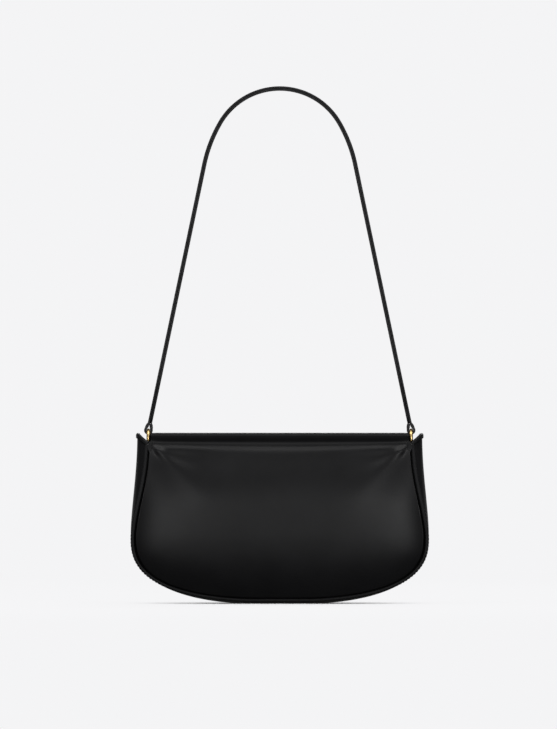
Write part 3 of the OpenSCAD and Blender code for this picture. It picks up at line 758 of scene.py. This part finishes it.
# Strap: two plies of calf glued and sewn back to back, their edges painted.
# The outer ply runs on round each ring and turns back up to meet the end of the inner one.
STRAP_W, STRAP_END_W, PLY_T, PLY_GAP = 14.0, 6.5, 1.6, 0.1
CROWN_R, CROWN_TURN, STRAP_EASE, LOOP_RUN = 55.0, math.radians(30), 2.9, 5.8
LOOP_Z = RING_Z + RING_R
CROWN_Z = BODY_H + 277 - PLY_GAP / 2 - PLY_T - CROWN_R
TAPER_LOW, TAPER_HIGH = 149.05, 177.05
strap_lean = math.atan2(LOOP_Z - CROWN_Z, RING_X) \
    + math.acos((CROWN_R + STRAP_EASE) / math.hypot(RING_X, LOOP_Z - CROWN_Z))
SIDE_R = CROWN_R + STRAP_EASE / (1 - math.cos(CROWN_TURN - strap_lean))


def facing(angle):
    return np.array([math.cos(angle), math.sin(angle)])


side_centre = np.array([0, CROWN_Z]) - (SIDE_R - CROWN_R) * facing(CROWN_TURN)


def right_leg(offset, start):
    """The strap's line on the right, from "start" above the ring's wire up to the crown."""
    wire_at = np.array([RING_X, LOOP_Z])
    foot = wire_at + start * facing(strap_lean + math.pi / 2) + offset * facing(strap_lean)
    arc = [side_centre + (SIDE_R + offset) * facing(a) for a in np.linspace(strap_lean, CROWN_TURN, 30)]
    leg = [mix(foot, arc[0], t) for t in np.linspace(0, 1, 40)[:-1]]
    crown = [np.array([0, CROWN_Z]) + (CROWN_R + offset) * facing(a)
             for a in np.linspace(CROWN_TURN, math.pi / 2, 36)[1:]]
    return leg + arc + crown


def whole_strap(right):
    return np.array(right + [p * (-1, 1) for p in right[-2::-1]])


def strap_widths(path):
    return np.interp(path[:, 1], [TAPER_LOW, TAPER_HIGH], [STRAP_END_W, STRAP_W])


def ply_thickness(path):
    """The outer ply is thicker where it is turned round the wire."""
    above = (np.abs(path[:, 0]) - RING_X) * facing(strap_lean + math.pi / 2)[0] \
        + (path[:, 1] - LOOP_Z) * facing(strap_lean + math.pi / 2)[1]
    return np.interp(above, [1, 2.5, 4, 5, 5.8, 8.5], [LOOP_PLY, 2.6, 2.65, 2.3, 1.85, PLY_SEEN])


LOOP_PLY, PLY_SEEN = 1.95, PLY_T + PLY_GAP + 0.02
ply_off = (PLY_GAP + PLY_T) / 2
loop_r = WIRE_SEEN + 0.08 + LOOP_PLY / 2
touch = math.atan2(LOOP_RUN, ply_off) - math.acos(loop_r / math.hypot(ply_off, LOOP_RUN))
loop_turns = np.linspace(math.pi - touch, 2 * math.pi + touch, 26)
loop = [(loop_r * math.cos(a), loop_r * math.sin(a)) for a in loop_turns]
rise = np.linspace(0, 1, 8)[:-1]
loop = [(mix(-ply_off, loop[0][0], t), mix(LOOP_RUN - 0.1, loop[0][1], t)) for t in rise] + loop \
    + [(mix(loop[-1][0], ply_off, t), mix(loop[-1][1], LOOP_RUN, t)) for t in rise[1:]]
loop = [np.array([RING_X, LOOP_Z]) + u * facing(strap_lean) + v * facing(strap_lean + math.pi / 2)
        for u, v in loop]
strap_calf = calf("strap_calf", (0.0045, 0.0045, 0.005, 1), 0.42, 0.3, wavy=0.00005)
outer_path = whole_strap(loop + right_leg(ply_off, LOOP_RUN))
strap_outer = tape("strap_outer_ply", outer_path, strap_widths(outer_path), ply_thickness(outer_path), 0.42)
strap_outer.data.materials.append(strap_calf)
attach(strap_outer, "strap")
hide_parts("strap_outer")
inner_path = whole_strap(right_leg(-ply_off, LOOP_RUN - 0.1))
strap_inner = tape("strap_inner_ply", inner_path, strap_widths(inner_path), PLY_SEEN, 0.42)
strap_inner.data.materials.append(strap_calf)
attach(strap_inner, "strap")
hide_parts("strap_inner")

# Snap: a plain hidden press snap of gold-plated brass. The stud is riveted through the front
# panel over a steel washer, the socket sits behind the flap's leather over another.
SNAP_Z = 50.0
front_skin_y = float(belly(np.array(0.0), np.array(SNAP_Z))) - FLAP_PACK
socket_back_y = front_skin_y + FLAP_PACK - 2.2
stud_outline = [(1.5, -1.7), (1.5, 0.3), (5.5, 0.3), (5.85, 0.4), (6.0, 0.6), (5.95, 0.85), (5.6, 1.08),
                (4.6, 1.16), (3.1, 1.18), (2.75, 1.25), (2.45, 1.5), (2.3, 1.75), (2.42, 2.1), (2.5, 2.3),
                (2.4, 2.52), (2.0, 2.68), (0.9, 2.7)]
socket_outline = [(5.6, 0), (5.9, -0.12), (6.0, -0.4), (6.0, -1.7), (5.9, -1.98), (5.6, -2.12),
                  (4.8, -2.16), (4.5, -2.05), (4.2, -2.0), (3.9, -2.1), (3.5, -2.18), (3.2, -2.12),
                  (3.1, -1.95), (3.1, -0.65)]
for word, outline, back_y, body in (("stud", stud_outline, front_skin_y, "bag"),
                                    ("socket", socket_outline, socket_back_y, "flap")):
    radius, rise = np.array(outline).T
    rows = len(radius)
    centres = np.stack([np.zeros(rows), back_y + rise, np.full(rows, SNAP_Z)], -1)
    half = swept("snap_%s_turned" % word, centres, np.tile((1.0, 0, 0), (rows, 1)),
                 np.tile((0.0, 0, 1), (rows, 1)), oval(1, 1, 56)[None] * radius[:, None, None])
    half.data.materials.append(gilt)
    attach(half, body)
    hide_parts("snap_" + word)
zinc, dye = new_material("zinc_steel")
place = dye.node("ShaderNodeTexCoord", {}, {}, "Object")
spangle = dye.node("ShaderNodeTexNoise", {}, {"Vector": place, "Scale": 900, "Detail": 3})
show(zinc, dye.node("ShaderNodeBsdfPrincipled", {}, {
    "Base Color": spangle.blend((0.50, 0.50, 0.52, 1), (0.62, 0.62, 0.63, 1)), "Metallic": 1.0,
    "Roughness": spangle * 0.2 + 0.28}))

# Boards: pressed fibre board glued between the leather and the lining. The leather and the
# lining hide them, so they stay as they were cut.
fibre, dye = new_material("fibreboard")
place = dye.node("ShaderNodeTexCoord", {}, {}, "Object")
pulp = dye.node("ShaderNodeTexNoise", {}, {"Vector": place, "Scale": 420, "Detail": 5})
show(fibre, dye.node("ShaderNodeBsdfPrincipled", {}, {
    "Base Color": pulp.clipped(0.3, 0.7).blend((0.42, 0.34, 0.25, 1), (0.55, 0.47, 0.36, 1)),
    "Roughness": pulp * 0.1 + 0.82,
    "Normal": dye.node("ShaderNodeBump", {}, {"Strength": 0.4, "Distance": 0.0001, "Height": pulp})}))
finishes = {"gilt_metal": gilt, "steel": zinc, "board": fibre, "lining": suede}
for row in frame["record"]["subparts"]:
    node = frame["nodes"][row["node"]]
    kept = finishes.get(row["material_slot"], edge_paint_and_shade)
    node.data.materials.clear()
    node.data.materials.append(kept)

# Stitching: black bonded thread, one mesh for each body that carries it.
# Lock stitches along the gusset's turned edges, down the ends of the back's neck, round the
# flap, along the front panel's upper edge, the pocket's mouth and both edges of the strap.
PITCH, STITCH, THREAD = 2.8, 2.1, 0.42
thread, dye = new_material("thread")
place = dye.node("ShaderNodeTexCoord", {}, {}, "Object")
strand = dye.node("ShaderNodeTexNoise", {}, {"Vector": place, "Scale": 3200, "Detail": 2})
show(thread, dye.node("ShaderNodeBsdfPrincipled", {}, {
    "Base Color": strand.clipped(0.3, 0.7).blend((0.004, 0.004, 0.0045, 1), (0.016, 0.016, 0.017, 1)),
    "Roughness": strand * 0.2 + 0.5, "Specular IOR Level": 0.05,
    "Normal": dye.node("ShaderNodeBump", {}, {"Strength": 0.5, "Distance": 0.00006, "Height": strand})}))


def spaced(line, out, pitch=PITCH, lift=0.1):
    """Places for stitches along a line, the way each one lies and the way it faces."""
    line, out = np.asarray(line, float), np.asarray(out, float)
    run = np.concatenate([[0], np.cumsum(np.linalg.norm(np.diff(line, axis=0), axis=1))])
    count = max(2, int(run[-1] // pitch))
    at = (np.arange(count) + 0.5) * run[-1] / count
    place, facing_out, ahead = (np.stack([np.interp(at, run, v[:, i]) for i in range(3)], -1)
                                for v in (line, out, np.gradient(line, axis=0)))
    facing_out = unit(facing_out)
    return place + facing_out * lift, unit(ahead), facing_out


def inside_line(grid, far_in):
    """A line on a fan of rows, a set way in from its first row, with the way that it faces."""
    away = edge_distance(grid, grid[0])
    n = normals(grid)
    line, out = [], []
    for c in range(grid.shape[1]):
        stop = int(np.argmax(away[:, c] > far_in)) or 1
        line.append([np.interp(far_in, away[:stop + 1, c], grid[:stop + 1, c, i]) for i in range(3)])
        out.append([np.interp(far_in, away[:stop + 1, c], n[:stop + 1, c, i]) for i in range(3)])
    return np.array(line), np.array(out)


def back_spot(x, z):
    """A place on the back's outer face, from where it is seen, and the way it faces there."""
    faces = normals(hide_grid)
    rows = slice(0, len(fan_steps) + 10)
    flat = (hide_outer[rows, :, 0] - x) ** 2 + (hide_outer[rows, :, 2] - z) ** 2
    near = np.argsort(flat.ravel())[:4]
    weight = 1 / (flat.ravel()[near] + 0.01)
    spot = (hide_outer[rows].reshape(-1, 3)[near] * weight[:, None]).sum(0) / weight.sum()
    return (x, spot[1], z), faces[rows].reshape(-1, 3)[near[0]]


stitch_rows = {"bag": [], "flap": [], "strap": []}
for place in ("back", "front"):
    centres, outward, toward = bead_lines[place]
    lean = 0.97 * outward + 0.24 * toward
    stitch_rows["bag"].append(spaced(centres[4:-4] + (BEAD_ACROSS - 0.12) * lean[4:-4], lean[4:-4]))
ROW_X, ROW_TOP, ROW_FOOT = 102.0, 134.6, 125.2
for side in (-1, 1):
    drop = [(side * ROW_X, z) for z in np.linspace(ROW_TOP, ROW_FOOT, 12)] \
        + [(side * (ROW_X + 2.6 * (1 - math.cos(a))), ROW_FOOT - 3.2 * math.sin(a))
           for a in np.linspace(0.2, 1.4, 6)]
    spots = [back_spot(*p) for p in drop]
    stitch_rows["bag"].append(spaced([p for p, n in spots], [n for p, n in spots], 2.2))
front_head = front_grid[3, 8:-8]
stitch_rows["bag"].append(spaced(front_head, normals(front_grid)[3, 8:-8]))
lip_line = mouth[3:-3] + (0.0, 0, 1.4) + lip_out[3:-3] * -0.75
stitch_rows["bag"].append(spaced(lip_line, -lip_out[3:-3], 2.4))
flap_line, flap_out = inside_line(flap_plain, 3.0)
whole = flap_line[:, 2] < NECK_Z - 3
flap_out *= np.sign(flap_out[COLUMNS // 2, 1])
stitch_rows["flap"].append(spaced(flap_line[whole], flap_out[whole]))
for path, side in ((outer_path, 1), (inner_path, -1)):
    path = path[path[:, 1] > LOOP_Z + LOOP_RUN + 1.5]
    ahead = unit(np.gradient(path, axis=0))
    out = np.stack([-ahead[:, 1], np.zeros(len(path)), ahead[:, 0]], -1)
    out *= side * np.sign(out[len(path) // 2, 2])
    for edge_side in (-1, 1):
        y = RING_Y + edge_side * (strap_widths(path) / 2 - 1.3)
        line = np.stack([path[:, 0], y, path[:, 1]], -1) + out * PLY_T / 2
        stitch_rows["strap"].append(spaced(line, out, lift=-0.1))

tree = bpy.data.node_groups.new("stitches", "GeometryNodeTree")
tree.interface.new_socket("Geometry", in_out="INPUT", socket_type="NodeSocketGeometry")
settings = (("Stitch length", "Float", STITCH * MM), ("Thread thickness", "Float", THREAD * MM),
            ("Unevenness", "Float", 0.06), ("Seed", "Int", 3))
for name, kind, value in settings:
    tree.interface.new_socket(name, in_out="INPUT", socket_type="NodeSocket" + kind)
tree.interface.new_socket("Geometry", in_out="OUTPUT", socket_type="NodeSocketGeometry")
nodes = Dye(tree)
given = nodes.node("NodeGroupInput", {}, {})
length, thick, uneven, seed = (Dye(tree, given.socket.node.outputs[i]) for i in (1, 2, 3, 4))
bead_of_thread = nodes.node("GeometryNodeMeshUVSphere", {}, {"Segments": 8, "Rings": 5, "Radius": 0.5})
smooth = nodes.node("GeometryNodeSetShadeSmooth", {}, {0: bead_of_thread})
along = nodes.node("GeometryNodeInputNamedAttribute", {"data_type": "FLOAT_VECTOR"}, {0: "along"})
out = nodes.node("GeometryNodeInputNamedAttribute", {"data_type": "FLOAT_VECTOR"}, {0: "out"})
turned = nodes.node("FunctionNodeAxesToRotation", {"primary_axis": "X", "secondary_axis": "Z"},
                    {0: along, 1: out})
size = nodes.node("ShaderNodeCombineXYZ", {}, {0: length, 1: thick, 2: thick})
wobble = nodes.node("FunctionNodeRandomValue", {"data_type": "FLOAT"},
                    {2: 1 - uneven, 3: 1 + uneven, 8: seed}, 1)
varied = nodes.node("ShaderNodeVectorMath", {"operation": "SCALE"}, {0: size, 3: wobble})
placed = nodes.node("GeometryNodeInstanceOnPoints", {}, {0: given, 2: smooth, 5: turned, 6: varied})
real = nodes.node("GeometryNodeRealizeInstances", {}, {0: placed})
dyed = nodes.node("GeometryNodeSetMaterial", {}, {0: real, 2: thread})
end = tree.nodes.new("NodeGroupOutput")
tree.links.new(dyed.socket, end.inputs[0])
inputs = {item.name: item.identifier for item in tree.interface.items_tree if item.in_out == "INPUT"}
for body, rows in stitch_rows.items():
    places, along, out = (np.concatenate([row[i] for row in rows]) for i in range(3))
    guide = bpy.data.meshes.new(body + "_stitches")
    guide.from_pydata([tuple(p) for p in places * MM], [], [])
    guide.attributes.new("along", "FLOAT_VECTOR", "POINT").data.foreach_set("vector", along.ravel())
    guide.attributes.new("out", "FLOAT_VECTOR", "POINT").data.foreach_set("vector", out.ravel())
    sewn = bpy.data.objects.new(body + "_stitches", guide)
    bpy.context.scene.collection.objects.link(sewn)
    step = sewn.modifiers.new("stitches", "NODES")
    step.node_group = tree
    for name, kind, value in settings:
        step[inputs[name]] = value
    made = bpy.data.meshes.new_from_object(sewn.evaluated_get(bpy.context.evaluated_depsgraph_get()))
    sewn.modifiers.clear()
    sewn.data = made
    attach(sewn, body)
